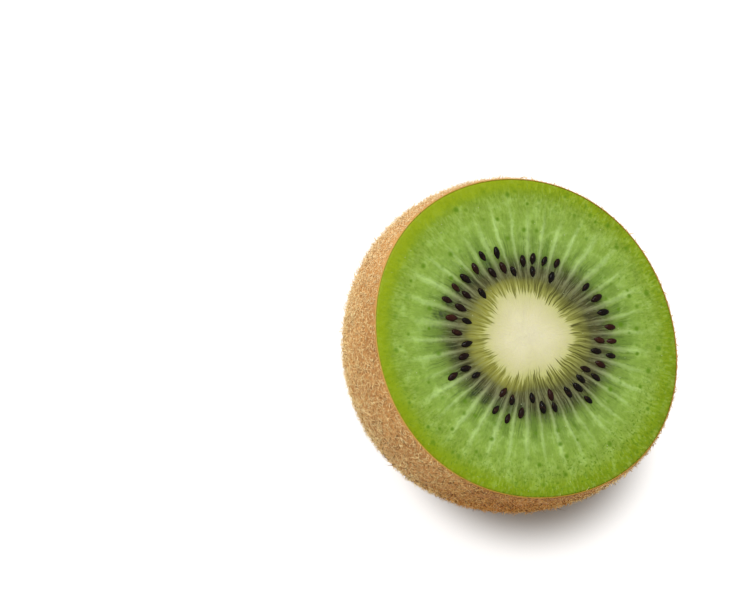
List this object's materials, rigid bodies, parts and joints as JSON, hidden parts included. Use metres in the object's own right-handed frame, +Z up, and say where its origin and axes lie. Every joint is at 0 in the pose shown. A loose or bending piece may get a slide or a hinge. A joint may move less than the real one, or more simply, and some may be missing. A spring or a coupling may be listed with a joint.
{
  "type": "kiwi fruit half",
  "caption": "Half of a kiwi fruit with the cut face up: pale core, ring of dark seeds, green flesh with pale rays and brown fuzzy skin.",
  "frame": {"origin": "middle of the flat spot at the fruit's blunt end, on the surface that it rests on", "axes": "+Z up, square to the cut face; +X is the cut face's right side as the picture shows it"},
  "size_m": [0.0532, 0.0528, 0.0357],
  "materials": {
    "kiwi": "moist green flesh on the cut, dull brown fuzzy skin outside"
  },
  "bodies": {
    "root": {"kiwi_half": "kiwi"}
  },
  "joints": []
}
